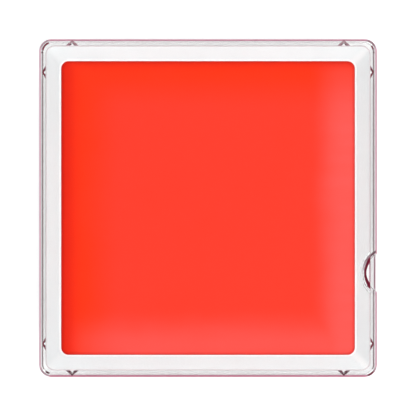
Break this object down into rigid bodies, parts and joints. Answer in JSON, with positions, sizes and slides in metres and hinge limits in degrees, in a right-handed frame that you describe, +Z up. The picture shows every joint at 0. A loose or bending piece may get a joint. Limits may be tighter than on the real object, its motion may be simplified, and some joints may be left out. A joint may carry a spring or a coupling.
{
  "type": "wet palette",
  "caption": "Square paint palette in a clear lidded case: a white bevelled tray holds a soaked sponge pad under a thin palette sheet.",
  "frame": {"origin": "centre of the standing rim's underside, where the case rests", "axes": "+Z up out of the lid, +X towards the side with the finger scoop, +Y along that side, away from the scoop"},
  "size_m": [0.15, 0.15, 0.0255],
  "materials": {
    "clear_base": "clear gloss polystyrene",
    "clear_seal": "frosted clear silicone",
    "white_tray": "white satin gloss",
    "red_sponge": "wet fine-pored foam",
    "wet_sheet": "thin wet membrane, satin",
    "clear_lid": "clear gloss polystyrene"
  },
  "bodies": {
    "base": {"base": "clear_base", "seal_ring": "clear_seal"},
    "tray": {"tray": "white_tray"},
    "pad": {"sponge_pad": "red_sponge"},
    "sheet": {"palette_sheet": "wet_sheet"},
    "lid": {"lid": "clear_lid"}
  },
  "joints": [
    {"name": "tray_lift", "type": "slide", "parent": "base", "child": "tray", "axis": [0, 0, 1], "range_m": [0, 0.03]},
    {"name": "pad_lift", "type": "slide", "parent": "tray", "child": "pad", "axis": [0, 0, 1], "range_m": [0, 0.025]},
    {"name": "sheet_lift", "type": "slide", "parent": "pad", "child": "sheet", "axis": [0, 0, 1], "range_m": [0, 0.015]},
    {"name": "lid_lift", "type": "slide", "parent": "sheet", "child": "lid", "axis": [0, 0, 1], "range_m": [0, 0.04]}
  ]
}
